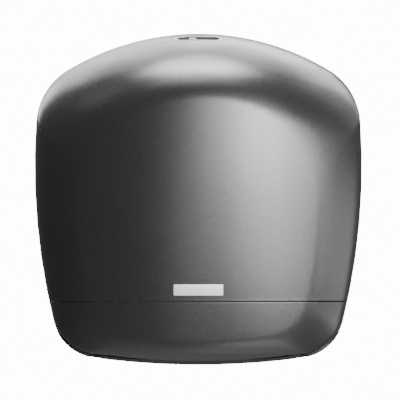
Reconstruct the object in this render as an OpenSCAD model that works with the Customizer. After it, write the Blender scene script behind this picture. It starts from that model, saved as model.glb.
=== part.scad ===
// Jumbo toilet roll dispenser, wall mounted.
// A moulded cover in two parts opens forward on a hinge at the foot of the back plate.
// Frame: +X to the right of someone facing it, +Y into the wall, +Z up, millimetres.
// The origin is the centre of the four wall screws, on the wall's surface.
// "Depth" is the distance from the wall, so a point at depth d has y = -d.

/* [Body] */
// Overall width, across the edge of the back plate
body_w = 313; // [300:1:326]
// Overall height
body_h = 316; // [308:1:328]
// Depth from the wall to the fullest part of the front
body_d = 133; // [129:1:145]
// Radius of the two upper corners, seen from the front
shoulder_r = 62; // [56:1:68]
// Radius of the two lower corners, seen from the front
foot_r = 46; // [42:1:50]
// Wall of the moulded covers
wall = 3; // [2.2:0.1:3.4]
// Depth below the middle of the line where the two covers meet
seam_drop = 97; // [90:1:102]
// Width of that open line
seam_gap = 0.6; // [0.3:0.1:1]

/* [Front surface] */
// Radius of the front, seen from above
front_r = 300; // [280:5:400]
// Radius of the front, seen from the side
lean_r = 950; // [850:50:1600]
// Height of the fullest part of the front, above the middle
full_z = 85; // [70:5:95]
// Height of the rounding along the top, seen from the front
top_round = 66; // [60:1:70]
// Width of the rounding along the sides
side_round = 46; // [40:1:50]
// Height of the rounding along the bottom
foot_round = 20; // [16:1:24]
// Radius of the upper corners of the front, inside the rounding
face_shoulder_r = 78; // [70:1:84]
// Radius of the lower corners of the front, inside the rounding
face_foot_r = 44; // [38:1:48]
// Depth at which the rounding of the top begins
top_crest = 30; // [26:1:36]
// Depth at which the rounding of the sides begins
side_crest = 62; // [54:1:70]
// How far the cover's sides stand inside the back plate's edge
side_in = 1.3; // [1:0.1:2]
// How far the cover's bottom stands above the back plate's edge
foot_in = 4.8; // [4:0.1:5.5]

/* [Back plate] */
// Thickness of the back plate
plate_t = 2.5; // [2:0.1:3]
// Depth of the back plate's visible edge
edge_d = 5; // [4:0.5:6]
// Depth of the wall that centres the cover
locate_d = 13; // [10:1:15]
// Distance between the wall screws, side to side
screw_w = 244; // [230:2:250]
// Distance between the wall screws, up and down
screw_h = 144; // [130:2:150]
// Radius of the wall screw holes
screw_hole_r = 2.75; // [2.25:0.25:3.25]
// Depth of the screw bosses and stiffening ribs
boss_d = 6; // [5:0.5:7]

/* [Roll] */
// Distance of the roll's axle to the left of the middle
roll_left = 10; // [7:1:13]
// Height of the roll's axle above the middle
roll_z = 25; // [22:1:27]
// Outside radius of the drum that the roll's core sits on
drum_r = 29.5; // [27:0.5:31]
// Room between the drum's end and the fullest part of the front
drum_room = 39; // [36:1:45]
// Radius of the disc behind the roll
disc_r = 46; // [42:1:50]
// Radius of the roll's axle
axle_r = 9; // [8:0.5:10]

/* [Stub roll] */
// Distance of the stub roll's axle to the right of the middle
stub_x = 74; // [71:1:76]
// Depth below the middle of the stub roll's axle
stub_drop = 84; // [82:1:86]
// Outside radius of the stub roll's sleeve
stub_r = 17; // [15:0.5:18.5]
// Radius of the stub roll's axle
stub_axle_r = 6; // [5:0.5:7]

/* [Brake] */
// Radius of the brake's pivot pin
brake_pin_r = 2.5; // [2:0.25:3]
// Length of the brake lever above and below the roll's axle
brake_reach = 24; // [22:1:28]
// Thickness of the brake pad
pad_t = 4; // [3:0.5:5]

/* [Lock] */
// Depth of the push button's middle
lock_d = 66; // [62:1:70]
// Length of the push button
button_l = 39.4; // [37:0.2:42]
// Width of the push button
button_w = 12.9; // [12:0.1:14]
// Travel of the push button
button_travel = 3; // [2:0.25:3]
// Width of the rim around the push button
bezel_rim = 4; // [3.6:0.1:4.6]
// Radius of the key barrel
barrel_r = 3.6; // [3.2:0.1:4]
// Distance of the key barrel to the left of the middle
barrel_left = 5.5; // [5:0.5:8]
// Distance of the latch to the right of the middle
latch_x = 8; // [7:0.5:10]
// Width of the latch lever
latch_w = 10; // [8:0.5:11]
// Lever arm from the latch pin to the push button
latch_arm = 20; // [19:0.5:22]
// Radius of the latch pin
latch_pin_r = 2.5; // [2:0.25:2.75]

/* [Outlet] */
// Distance of the paper outlet from each side
outlet_in = 71.5; // [70:0.5:76]
// Depth of the outlet's front edge
outlet_front = 84; // [78:1:86]
// Pitch of the tearing teeth
tooth_pitch = 4; // [3:0.5:6]
// Length of the tearing teeth
tooth_l = 3; // [2:0.25:4]

/* [Hinge] */
// Depth of the hinge axis
hinge_d = 17; // [16.5:0.25:18]
// Height of the hinge axis above the lowest point
hinge_h = 16; // [15.5:0.25:17]
// Radius of the hinge pins
hinge_pin_r = 2; // [1.5:0.25:2.5]
// Distance of the hinge arms from each side
arm_in = 58.5; // [58:0.5:60]
// Width of the hinge arms
arm_w = 9; // [7:0.5:9]

/* [Label] */
// Width of the plate on the front
label_w = 47; // [40:1:56]
// Height of the plate on the front
label_h = 10.6; // [8:0.2:14]
// Height of its middle above the line between the covers
label_up = 11.3; // [9:0.1:16]

/* [Hidden] */
$fn = 64;
eps = 0.01;
run_gap = 0.05;          // radial clearance of a shaft that turns
seat_gap = 0.02;         // radial clearance of a pin that stays in its seat
fit_gap = 0.3;           // clearance between pieces that sit beside each other
screw_r = 1.5;           // thread of the small screws
head_r = 3;              // their pan heads
head_t = 2;

// ---------- front outline: five tangent arcs from the top centre to the bottom centre ----------
// A heading is 0 at the top centre, 90 at the side and 180 at the bottom centre.
turns = [0, 31, 86, 104, 172, 180];
arc_steps = [9, 9, 6, 9, 5];
top_z = body_h / 2;

// the five radii that give a closed outline of one width and height with the corners asked for
function arc_radii(w, h, shoulder, foot) =
    let (s = [for (a = turns) sin(a)],
         c = [for (a = turns) cos(a)],
         dome_w = w / 2 - shoulder * (s[2] - s[1]),
         sill_w = w / 2 - foot * (s[3] - s[4]),
         dome_lean = (1 - c[1]) / s[1],
         sill_lean = (1 + c[4]) / s[4],
         corners = shoulder * (c[1] - c[2]) + foot * (c[3] - c[4]),
         side = (h - dome_lean * dome_w - sill_lean * sill_w - corners)
             / (c[2] - c[3] - dome_lean * (1 - s[2]) - sill_lean * (1 - s[3])))
    [(dome_w - side * (1 - s[2])) / s[1], shoulder, side, foot, (sill_w - side * (1 - s[3])) / s[4]];
function aim(h) = [sin(h), cos(h)];
function arc_centre(r, top, i) =
    i == 0 ? [0, top - r[0]] : arc_centre(r, top, i - 1) + (r[i - 1] - r[i]) * aim(turns[i]);

radii = arc_radii(body_w, body_h, shoulder_r, foot_r);
centres = [for (i = [0:4]) arc_centre(radii, top_z, i)];
dome_r = radii[0];
sill_r = radii[4];
function outline_point(h, i, inset) = centres[i] + (radii[i] - inset) * aim(h);

// the inner edge of the rounding, where the front surface begins
face_radii = arc_radii(body_w - 2 * side_round, body_h - top_round - foot_round - foot_in,
    face_shoulder_r, face_foot_r);
face_centres = [for (i = [0:4]) arc_centre(face_radii, top_z - top_round, i)];
function face_point(h, i) = face_centres[i] + face_radii[i] * aim(h);

// [heading, arc] stations down the right half, the last one at the bottom centre
half = concat(
    [for (i = [0:4], k = [0:arc_steps[i] - 1]) [turns[i] + (turns[i + 1] - turns[i]) * k / arc_steps[i], i]],
    [[180, 4]]);
half_n = len(half);
ring_n = 2 * half_n - 2;
function station(j) = j < half_n ? j : ring_n - j;

// a closed ring of [x, z] points, clockwise from the front, out of the points of its right half
function mirrored(points) = [for (j = [0:ring_n - 1])
    let (p = points[station(j)])
    [j < half_n ? p[0] : -p[0], p[1]]];
function ring(insets) = mirrored([for (m = [0:half_n - 1]) outline_point(half[m][0], half[m][1], insets[m])]);
function even_ring(inset) = ring([for (s = half) inset]);
function sill_z(x) = sill_r - sqrt(sill_r * sill_r - x * x) - top_z;

// ---------- surface of the cover ----------
function upward(h) = max(0, cos(h));
function downward(h) = max(0, -cos(h));
function by_side(h, top, side, foot) =
    side + (top - side) * pow(upward(h), 1.2) + (foot - side) * pow(downward(h), 1.2);
function front_depth(x, z) =
    body_d - (front_r - sqrt(front_r * front_r - x * x)) - pow(z - full_z, 2) / (2 * lean_r);

function front_lean(z) = atan((full_z - z) / lean_r);

rim_d = edge_d + 0.5;                // the cover's rim stands clear of the back plate's edge
top_tuck = 2.5;                      // how far the rim draws in under the crest at the top
face_shares = [0.87, 0.73, 0.58, 0.43, 0.28, 0.14];
bend_steps = 9;
face_mid_z = -16;
bend_rings = 3 + bend_steps;
skin_rings = bend_rings + len(face_shares);
skin_n = skin_rings * ring_n + 1;

function rim_in(h) = by_side(h, top_tuck, side_in, foot_in);
function crest_in(h) = by_side(h, 0, side_in, foot_in);

// rings of a surface t inside the outer one: two up the straight side, then round to the front
function ring_points(t, k) = mirrored([for (s = half)
    let (h = s[0],
         inset = k == 0 ? rim_in(h) : k == 1 ? (rim_in(h) + 2 * crest_in(h)) / 3 : crest_in(h),
         start = outline_point(h, s[1], inset + t),
         share = k < 2 ? 0 : 1 - cos(90 * (k - 2) / bend_steps))
    start + (face_point(h, s[1]) - start) * share]);
// the rounding begins this far behind the front: a depth for each station
top_fall = front_depth(0, top_z - top_round) - top_crest;
side_fall = front_depth(body_w / 2 - side_round, 0) - side_crest;
foot_fall = foot_round + 2;
foot_edge_z = foot_in + foot_round - top_z;
face_edge = [for (s = half) face_point(s[0], s[1])];
crests = [for (m = [0:half_n - 1])
    front_depth(face_edge[m][0], face_edge[m][1]) - by_side(half[m][0], top_fall, side_fall, foot_fall)];
function ring_depth(t, k, crest, p) =
    k == 0 ? rim_d
    : k == 1 ? (rim_d + crest) / 2
    : crest + (front_depth(p[0], p[1]) - t - crest) * sin(90 * (k - 2) / bend_steps);
function cover_ring(t, k) =
    let (points = ring_points(t, k))
    [for (j = [0:ring_n - 1]) [points[j][0], -ring_depth(t, k, crests[station(j)], points[j]), points[j][1]]];
function face_ring(t, share) = [for (p = mirrored(face_edge))
    let (x = p[0] * share, z = face_mid_z + (p[1] - face_mid_z) * share)
    [x, t - front_depth(x, z), z]];
function skin_points(t) = concat(
    [for (k = [0:bend_rings - 1]) each cover_ring(t, k)],
    [for (s = face_shares) each face_ring(t, s)],
    [[0, t - front_depth(0, face_mid_z), face_mid_z]]);

function next(j) = (j + 1) % ring_n;
function flipped(f, flip) = flip ? [f[0], f[2], f[1]] : f;
function skin_faces(first, flip) = [
    for (k = [0:skin_rings - 2], j = [0:ring_n - 1])
        let (a = first + k * ring_n + j, b = first + k * ring_n + next(j))
        each [flipped([a, b + ring_n, b], flip), flipped([a, a + ring_n, b + ring_n], flip)],
    for (j = [0:ring_n - 1])
        let (last = first + (skin_rings - 1) * ring_n)
        flipped([last + j, first + skin_n - 1, last + next(j)], flip)];

// the closed shell between two surfaces
module cover_shell(outer_t, inner_t) {
    polyhedron(
        points = concat(skin_points(outer_t), skin_points(inner_t)),
        faces = concat(
            skin_faces(0, false),
            skin_faces(skin_n, true),
            [for (j = [0:ring_n - 1]) each [
                [j, next(j), skin_n + next(j)],
                [j, skin_n + next(j), skin_n + j]]]));
}

// ---------- shared forms ----------
// draws a profile given in x and z, from one depth to another
module plate(from, to) {
    translate([0, -from, 0]) rotate([90, 0, 0]) linear_extrude(to - from) children();
}
// draws a profile given in y and z, from one x to another
module side_plate(x0, x1) {
    translate([x0, 0, 0]) rotate([90, 0, 90]) linear_extrude(x1 - x0) children();
}
module post(x, z, from, to, r) {
    translate([x, -from, z]) rotate([90, 0, 0]) cylinder(h = to - from, r = r);
}
module box(x0, x1, from, to, z0, z1) {
    translate([x0, -to, z0]) cube([x1 - x0, to - from, z1 - z0]);
}
module bar_x(x0, x1, d, z, r) {
    translate([x0, -d, z]) rotate([0, 90, 0]) cylinder(h = x1 - x0, r = r);
}
module both_sides() {
    children();
    mirror([1, 0, 0]) children();
}
module link(p, q, w) {
    translate(p) rotate(atan2(q[1] - p[1], q[0] - p[0])) translate([0, -w / 2]) square([norm(q - p), w]);
    translate(p) circle(d = w);
    translate(q) circle(d = w);
}
module oblong(l, w) {
    square([l - w, w], center = true);
    for (s = [-1, 1]) translate([s * (l - w) / 2, 0]) circle(d = w);
}
// a pan-head screw with a cross recess, its head above z = 0 and its shank below
module screw(len, r = screw_r, hr = head_r, ht = head_t) {
    difference() {
        union() {
            translate([0, 0, -len]) cylinder(h = len + eps, r = r);
            rotate_extrude() intersection() {
                translate([0, -hr]) circle(r = 1.6 * hr);
                square([hr, ht]);
            }
        }
        for (a = [0, 90]) rotate(a) translate([-hr * 0.6, -0.35, ht * 0.45]) cube([hr * 1.2, 0.7, ht]);
    }
}
// the same screw driven towards the wall, with its head on a surface at a depth
module wall_side_screw(x, z, d, len) {
    translate([x, -d, z]) rotate([90, 0, 0]) screw(len);
}
// a coil spring of round wire about the z axis, with a straight leg at each end
coil_steps = 14;
wire_sides = 6;
function coil_path(r, pitch, n, leg) = concat(
    [[r, -leg, 0]],
    [for (k = [0:n * coil_steps]) let (a = 360 * k / coil_steps) [r * cos(a), r * sin(a), pitch * k / coil_steps]],
    [[r * cos(360 * n) - leg * sin(360 * n), r * sin(360 * n) + leg * cos(360 * n), pitch * n]]);
module coil(r, wire, pitch, n, leg) {
    path = coil_path(r, pitch, n, leg);
    last = len(path) - 1;
    points = [for (k = [0:last])
        let (along = path[min(k + 1, last)] - path[max(k - 1, 0)],
             dir = along / norm(along),
             side = cross(dir, [0, 0, 1]) / norm(cross(dir, [0, 0, 1])),
             up = cross(side, dir))
        for (i = [0:wire_sides - 1])
            path[k] + wire * (cos(360 * i / wire_sides) * side + sin(360 * i / wire_sides) * up)];
    polyhedron(points = points, faces = concat(
        [[for (i = [0:wire_sides - 1]) i]],
        [[for (i = [wire_sides - 1:-1:0]) last * wire_sides + i]],
        [for (k = [0:last - 1], i = [0:wire_sides - 1])
            let (a = k * wire_sides + i, b = k * wire_sides + (i + 1) % wire_sides)
            each [[a, a + wire_sides, b], [b, a + wire_sides, b + wire_sides]]]));
}

// ---------- back plate ----------
hinge_z = hinge_h - top_z;
locate_gap = 0.4;
locate_t = 2;
locate_low = 108;                    // the centring wall stops above the lower corners
rib_t = 1.8;
rib_pitch = 44;
rib_in = 9;
hinge_edge_in = 0.6;                 // the trough stays this far below the lower cover's cut
ear_t = 3.5;
ear_r = 5.5;
ear_gap = 0.4;
arm_x = body_w / 2 - arm_in;         // the arms stand between the outlet and the corners
arm_near = arm_x - arm_w / 2;
arm_far = arm_x + arm_w / 2;
pin_near = arm_near - ear_gap - ear_t;
pin_far = arm_far + ear_gap + ear_t;
outlet_w = body_w - 2 * outlet_in;
cut_top = hinge_z + 2;               // height of the outlet's upper edge, inside the lower cover
hinge_clear = 0.4;                   // between the trough and the cover that swings round it
cut_d = hinge_d + hinge_h + hinge_clear;

module ring_wall(inset, t) {
    difference() {
        polygon(even_ring(inset));
        polygon(even_ring(inset + t));
    }
}
module locating_wall() {
    intersection() {
        plate(0, locate_d) difference() {
            polygon(ring([for (s = half) rim_in(s[0]) + wall + locate_gap]));
            polygon(ring([for (s = half) rim_in(s[0]) + wall + locate_gap + locate_t]));
        }
        box(-body_w, body_w, 0, locate_d, -locate_low, top_z);
    }
}
// the foot of the back plate curls round under the hinge axis and closes the cover's cut
module hinge_trough() {
    intersection() {
        plate(0, cut_d) ring_wall(0, wall);
        union() {
            box(-body_w, body_w, 0, hinge_d, -top_z, cut_top - hinge_edge_in);
            bar_x(-body_w, body_w, hinge_d, hinge_z, hinge_h);
        }
    }
    intersection() {
        plate(0, cut_d) polygon(even_ring(0));
        difference() {
            bar_x(-body_w / 2, body_w / 2, hinge_d, hinge_z, hinge_h);
            bar_x(-body_w, body_w, hinge_d, hinge_z, hinge_h - wall);
        }
        box(-body_w, body_w, hinge_d, cut_d, -top_z, hinge_z - 0.66 * hinge_h);
    }
}
module hinge_ears() {
    for (x = [pin_near, arm_far + ear_gap]) {
        box(x, x + ear_t, 0, hinge_d, sill_z(x + ear_t) + 1, hinge_z + ear_r);
        box(x, x + ear_t, 0, hinge_d + ear_r, sill_z(x + ear_t) + 1, hinge_z);
        bar_x(x, x + ear_t, hinge_d, hinge_z, ear_r);
    }
}
module ribs() {
    intersection() {
        plate(0, boss_d) polygon(even_ring(rib_in));
        union() {
            for (x = [-3:3]) box(x * rib_pitch - rib_t / 2, x * rib_pitch + rib_t / 2, 0, boss_d, -top_z, top_z);
            for (z = [-3:3]) box(-body_w, body_w, 0, boss_d, z * rib_pitch - rib_t / 2, z * rib_pitch + rib_t / 2);
        }
    }
}
module wall_screw_places() {
    for (x = [-1, 1], z = [-1, 1]) translate([x * screw_w / 2, 0, z * screw_h / 2]) children();
}
module back_plate() color("#1b1c1e") difference() {
    union() {
        plate(0, plate_t) polygon(even_ring(0));
        plate(0, edge_d) ring_wall(0, wall);
        locating_wall();
        hinge_trough();
        both_sides() hinge_ears();
        ribs();
        wall_screw_places() post(0, 0, 0, boss_d, 8);
        post(roll_x, roll_z, 0, boss_d, axle_flange_r + 3);
        post(stub_x, -stub_drop, 0, boss_d, stub_flange_r + 3);
        post(brake_x, brake_z, 0, boss_d, 7);
        box(latch_x - catch_w / 2, latch_x + catch_w / 2, 0, boss_d, catch_z - catch_drop, catch_z + catch_t);
    }
    wall_screw_places() post(0, 0, -1, boss_d + 1, screw_hole_r);
    both_sides() {
        box(arm_near - ear_gap, arm_far + ear_gap, plate_t + 2, cut_d, -top_z - 1, hinge_z + ear_r + 1);
        bar_x(pin_near - 1, pin_far + 1, hinge_d, hinge_z, hinge_pin_r + seat_gap);
    }
    axle_screw_places() post(0, 0, 1, boss_d + 1, screw_r + seat_gap);
    stub_screw_places() post(0, 0, 1, boss_d + 1, screw_r + seat_gap);
    catch_screw_places() post(0, 0, 1, boss_d + 1, screw_r + seat_gap);
    post(brake_x, brake_z, 1, boss_d + 1, brake_pin_r + seat_gap);
}

module hinge_pins() color("#c9ccd0") both_sides() {
    bar_x(pin_near, pin_far, hinge_d, hinge_z, hinge_pin_r);
    bar_x(pin_near - 1.2, pin_near - fit_gap, hinge_d, hinge_z, hinge_pin_r + 1.2);
    bar_x(pin_near - fit_gap - eps, pin_near + eps, hinge_d, hinge_z, hinge_pin_r);
}

// ---------- roll axle and drum ----------
roll_x = -roll_left;
flange_t = 2.2;
axle_flange_r = 24;
axle_screw_ring = 17;
hub_back = boss_d + flange_t + head_t + 0.6;
drum_end = body_d - drum_room;
disc_t = 2.5;
drum_wall = 2.2;
bush_t = 2.4;
bush_l = 9;
bush_seat = 12;                      // from the drum's back to its first bush
sleeve_wall = 2.5;
cap_t = 2.7;
clip_t = 1.2;
clip_d = drum_end - 12;
bush_r = axle_r + bush_t;

module axle_screw_places() {
    for (a = [90, 210, 330])
        translate([roll_x + axle_screw_ring * cos(a), 0, roll_z + axle_screw_ring * sin(a)]) children();
}
// turns a profile given in radius and depth about the axis of the roll
module about_roll() {
    translate([roll_x, 0, roll_z]) rotate([90, 0, 0]) rotate_extrude() children();
}
module span(r0, r1, from, to) {
    translate([r0, from]) square([r1 - r0, to - from]);
}
module roll_axle() color("#8d9094") difference() {
    about_roll() {
        span(0, axle_flange_r, boss_d, boss_d + flange_t);
        difference() {
            union() {
                span(0, axle_r, boss_d, clip_d + clip_t + 3);
                span(0, axle_r + 2, boss_d, hub_back - 0.4);
            }
            span(0, axle_r - 2.5, boss_d + flange_t, drum_end);
            span(axle_r - 1.2, axle_r + 1, clip_d - 0.1, clip_d + clip_t + 0.1);
        }
    }
    axle_screw_places() post(0, 0, 0, boss_d + flange_t + 1, screw_r + 0.1);
}
module axle_screws() color("#b9bcc0") axle_screw_places()
    wall_side_screw(0, 0, boss_d + flange_t, flange_t + boss_d - 1.5);
module axle_clip() color("#6f7276")
    translate([roll_x, -clip_d, roll_z]) rotate([90, 30, 0]) rotate_extrude(angle = 300)
        translate([axle_r - 1.15, 0]) square([4.4, clip_t]);

module roll_hub() color("#d7d8d6") {
    about_roll() {
        difference() {
            span(0, disc_r, hub_back, hub_back + disc_t);
            span(0, bush_r, hub_back - 1, hub_back + disc_t + 1);
            span(disc_r - 0.8, disc_r + 1, hub_back - 1, hub_back + 0.8);
        }
        span(drum_r - drum_wall, drum_r, hub_back, drum_end - cap_t);
        span(bush_r + seat_gap, bush_r + sleeve_wall, hub_back, clip_d - 0.6);
        span(axle_r + 0.5, bush_r + 1, hub_back + bush_seat + bush_l, clip_d - 0.6 - bush_l);
    }
    for (a = [0:60:300]) translate([roll_x, 0, roll_z]) rotate([0, a, 0])
        box(bush_r + sleeve_wall - 0.5, drum_r - drum_wall + 0.5, hub_back, clip_d - 4, -0.9, 0.9);
}
module hub_bushes() color("#e9e5d8") about_roll() {
    span(axle_r + run_gap, bush_r, hub_back + bush_seat, hub_back + bush_seat + bush_l);
    span(axle_r + run_gap, bush_r, clip_d - 0.6 - bush_l, clip_d - 0.6);
}
module hub_cap() color("#c5c6c4") about_roll() difference() {
    union() {
        span(0, drum_r, drum_end - cap_t, drum_end);
        span(drum_r - drum_wall - 2.2, drum_r - drum_wall - seat_gap, drum_end - cap_t - 5, drum_end);
    }
    translate([drum_r, drum_end]) rotate(45) square(2.4, center = true);
    span(drum_r - 9, drum_r - 7, drum_end - 1, drum_end + 1);
}

// ---------- brake on the drum's disc ----------
brake_t = 1.8;
brake_w = 7;
brake_x = roll_x + disc_r + fit_gap + pad_t + brake_w / 2;
brake_z = roll_z + brake_reach;
brake_head_t = 0.6;
brake_wire = 0.5;
brake_leg = 14;

module brake_pin() color("#b9bcc0") {
    post(brake_x, brake_z, 1.5, hub_back + brake_t + 0.1, brake_pin_r);
    post(brake_x, brake_z, hub_back + brake_t + 0.1 - eps, hub_back + brake_t + 0.1 + brake_head_t, brake_pin_r + 2);
}
module brake_spring() color("#8f9296")
    translate([brake_x, -boss_d - brake_wire - 0.2, brake_z]) rotate([90, 150, 0])
        coil(brake_pin_r + brake_wire + 0.4, brake_wire, (hub_back - boss_d - 2 * brake_wire - 0.5) / 3, 3, brake_leg);
module brake_lever() color("#3a3b3e") plate(hub_back, hub_back + brake_t) difference() {
    union() {
        link([brake_x, brake_z], [brake_x, roll_z - brake_reach], brake_w);
        translate([brake_x, brake_z]) circle(r = brake_pin_r + 3.2);
    }
    translate([brake_x, brake_z]) circle(r = brake_pin_r + run_gap);
    translate([brake_x, roll_z - brake_reach]) circle(r = 1.5);
}
module brake_pad() color("#111111") plate(hub_back, hub_back + brake_t) difference() {
    translate([brake_x - brake_w / 2 - pad_t - 1, roll_z - 8]) square([pad_t + 1, 16]);
    translate([roll_x, roll_z]) circle(r = disc_r + fit_gap);
}

// ---------- stub roll holder ----------
stub_flange_r = 15;
stub_screw_ring = 10.5;
stub_head_r = 12;

module about_stub() {
    translate([stub_x, 0, -stub_drop]) rotate([90, 0, 0]) rotate_extrude() children();
}
module stub_screw_places() {
    for (a = [0, 180])
        translate([stub_x + stub_screw_ring * cos(a), 0, stub_screw_ring * sin(a) - stub_drop]) children();
}
module stub_axle() color("#8d9094") difference() {
    about_stub() difference() {
        union() {
            span(0, stub_flange_r, boss_d, boss_d + flange_t);
            span(0, stub_axle_r, boss_d, drum_end - cap_t);
            span(0, stub_axle_r + 1, boss_d, hub_back - 0.4);
        }
        span(0, 3 + seat_gap, drum_end - cap_t - 12, drum_end);
    }
    stub_screw_places() post(0, 0, 0, boss_d + flange_t + 1, screw_r + 0.1);
}
module stub_screws() color("#b9bcc0") stub_screw_places()
    wall_side_screw(0, 0, boss_d + flange_t, flange_t + boss_d - 1.5);
module stub_sleeve() color("#d7d8d6") {
    about_stub() {
        difference() {
            union() {
                span(0, stub_r + 7, hub_back, hub_back + disc_t);
                span(0, stub_r, hub_back, hub_back + disc_t + 6);
                span(0, stub_r, drum_end - cap_t - 9, drum_end - cap_t - 0.4);
            }
            span(0, stub_axle_r + run_gap, 0, drum_end);
            span(stub_axle_r + sleeve_wall, stub_r - drum_wall, drum_end - cap_t - 6, drum_end);
        }
        span(stub_r - drum_wall, stub_r, hub_back, drum_end - cap_t - 0.4);
    }
}
module stub_cap() color("#c5c6c4") about_stub() {
    difference() {
        span(0, stub_head_r, drum_end - cap_t, drum_end);
        translate([stub_head_r, drum_end]) rotate(45) square(2.4, center = true);
    }
    span(0, 3, drum_end - cap_t - 10, drum_end);
}

// ---------- covers ----------
arm_end = 66;
arm_t = 6;
arm_bottom = sill_z(arm_far) + foot_in + wall + 0.5;
arm_screw_depths = [43, 58];
arm_screw_len = arm_bottom + arm_t - sill_z(arm_x) - foot_in - 1.3;
strip_t = 2;
strip_h = 18;
strip_in = 54.5;                     // the strip stops this far from the sides
strip_w = body_w - 2 * strip_in;
seam_screw_rise = 5;
screw_seat = 0.1;                    // the flats for the seam screws' heads are sunk into the band

module arm_screw_places() {
    for (d = arm_screw_depths) translate([arm_x, -d, arm_bottom + arm_t]) children();
}
module seam_screw_places() {
    for (x = (strip_w / 2 - 18) * [-1, -1 / 3, 1 / 3, 1], s = [-1, 1])
        on_front(x, s * seam_screw_rise - seam_drop, wall + fit_gap + strip_t) children();
}
// stands children on the front surface, their z axis outwards
module on_front(x, z, t) {
    translate([x, t - front_depth(x, z), z]) rotate([0, 0, asin(x / front_r)])
        rotate([90 + front_lean(z), 0, 0]) children();
}
module front_cover() color("#2a2b2d") difference() {
    cover_shell(0, wall);
    box(-body_w, body_w, -1, body_d + 1, -body_h, seam_gap / 2 - seam_drop);
    lock_frame() translate([0, 0, -15]) linear_extrude(30) oblong(bezel_l + 0.5, bezel_w + 0.5);
    seam_screw_places() cylinder(h = strip_t + fit_gap + 2, r = screw_r + 0.1);
}
module lower_cover() color("#2a2b2d") difference() {
    cover_shell(0, wall);
    box(-body_w, body_w, -1, body_d + 1, -seam_gap / 2 - seam_drop, body_h);
    box(-outlet_w / 2, outlet_w / 2, -1, outlet_front, -body_h, cut_top);
    box(-body_w, body_w, -1, cut_d, -body_h, hinge_z);
    bar_x(-body_w, body_w, hinge_d, hinge_z, hinge_h + hinge_clear);
    seam_screw_places() cylinder(h = strip_t + fit_gap + 2, r = screw_r + 0.1);
    both_sides() {
        arm_screw_places() translate([0, 0, -arm_screw_len - 0.2]) cylinder(h = 20, r = screw_r + 0.1);
        tear_frame() tear_screw_places() translate([0, 0, -tear_screw_len - 0.2]) cylinder(h = 6, r = tear_screw_r + 0.1);
    }
}
// a piece of the front surface between two depths below it, its axis at x = 0
module front_band(z, w, h, outer_t, inner_t) {
    r = front_r / cos(front_lean(z));
    intersection() {
        on_front(0, z, 0) rotate([90, 0, 0]) translate([0, -r, -h]) difference() {
            cylinder(h = 2 * h, r = r - outer_t, $fn = 360);
            translate([0, 0, -1]) cylinder(h = 2 * h + 2, r = r - inner_t, $fn = 360);
        }
        box(-w / 2, w / 2, body_d / 2, body_d + 5, z - h / 2, z + h / 2);
    }
}
// a band behind the line between the covers, screwed to both
module seam_strip() color("#232427") difference() {
    front_band(-seam_drop, strip_w, strip_h, wall + fit_gap, wall + fit_gap + strip_t);
    seam_screw_places() {
        translate([0, 0, -1]) cylinder(h = strip_t + 2, r = screw_r + 0.1);
        translate([0, 0, -head_t]) cylinder(h = head_t + screw_seat, r = head_r + 0.1);
    }
}
module seam_screws() color("#b9bcc0") seam_screw_places()
    translate([0, 0, screw_seat]) rotate([180, 0, 0]) screw(strip_t + fit_gap + 1.7);

module hinge_arms() color("#a9adb2") both_sides() difference() {
    union() {
        bar_x(arm_near, arm_far, hinge_d, hinge_z, hinge_pin_r + 3.2);
        box(arm_near, arm_far, hinge_d, arm_end, arm_bottom, arm_bottom + arm_t);
    }
    bar_x(arm_near - 1, arm_far + 1, hinge_d, hinge_z, hinge_pin_r + run_gap);
    arm_screw_places() translate([0, 0, -arm_t - 1]) cylinder(h = arm_t + 2, r = screw_r + 0.1);
}
module arm_screws() color("#b9bcc0") both_sides() arm_screw_places() screw(arm_screw_len);

module label_plate() color("#cfd1d2")
    front_band(label_up - seam_drop, label_w, label_h, -0.7, -0.08);

// ---------- tearing edges beside the outlet ----------
tear_t = 1;
tear_out = 7.5;
tear_back = cut_d + 2;
tear_screw_r = 1.2;
tear_screw_len = tear_t + 2.2;
// the outlet's floor is level up to here, where the rounding of the foot begins
tear_front = front_depth(outlet_w / 2 + tear_out, foot_edge_z) - foot_fall - 3;
tear_lean = atan(outlet_w / 2 / sill_r);

// lies on the inside of the lower cover, x away from the middle and y into the wall
module tear_frame() {
    translate([outlet_w / 2, 0, sill_z(outlet_w / 2) + (foot_in + wall) / cos(tear_lean) + 0.35])
        rotate([0, -tear_lean, 0]) children();
}
module tear_screw_places() {
    for (d = [tear_back + 8, tear_front - 8]) translate([tear_out - 3.4, -d, tear_t]) children();
}
module tear_edges() color("#b4b7bb") both_sides() tear_frame() difference() {
    linear_extrude(tear_t) union() {
        translate([0, -tear_front]) square([tear_out, tear_front - tear_back]);
        for (d = [tear_back : tooth_pitch : tear_front - tooth_pitch])
            translate([0.01, -d]) polygon([[0, 0], [0, -tooth_pitch], [-tooth_l, -tooth_pitch / 2]]);
    }
    tear_screw_places() translate([0, 0, -2]) cylinder(h = 3, r = tear_screw_r + 0.1);
}
module tear_screws() color("#b9bcc0") both_sides() tear_frame() tear_screw_places()
    screw(tear_screw_len, tear_screw_r, 2.3, 1.4);

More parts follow.
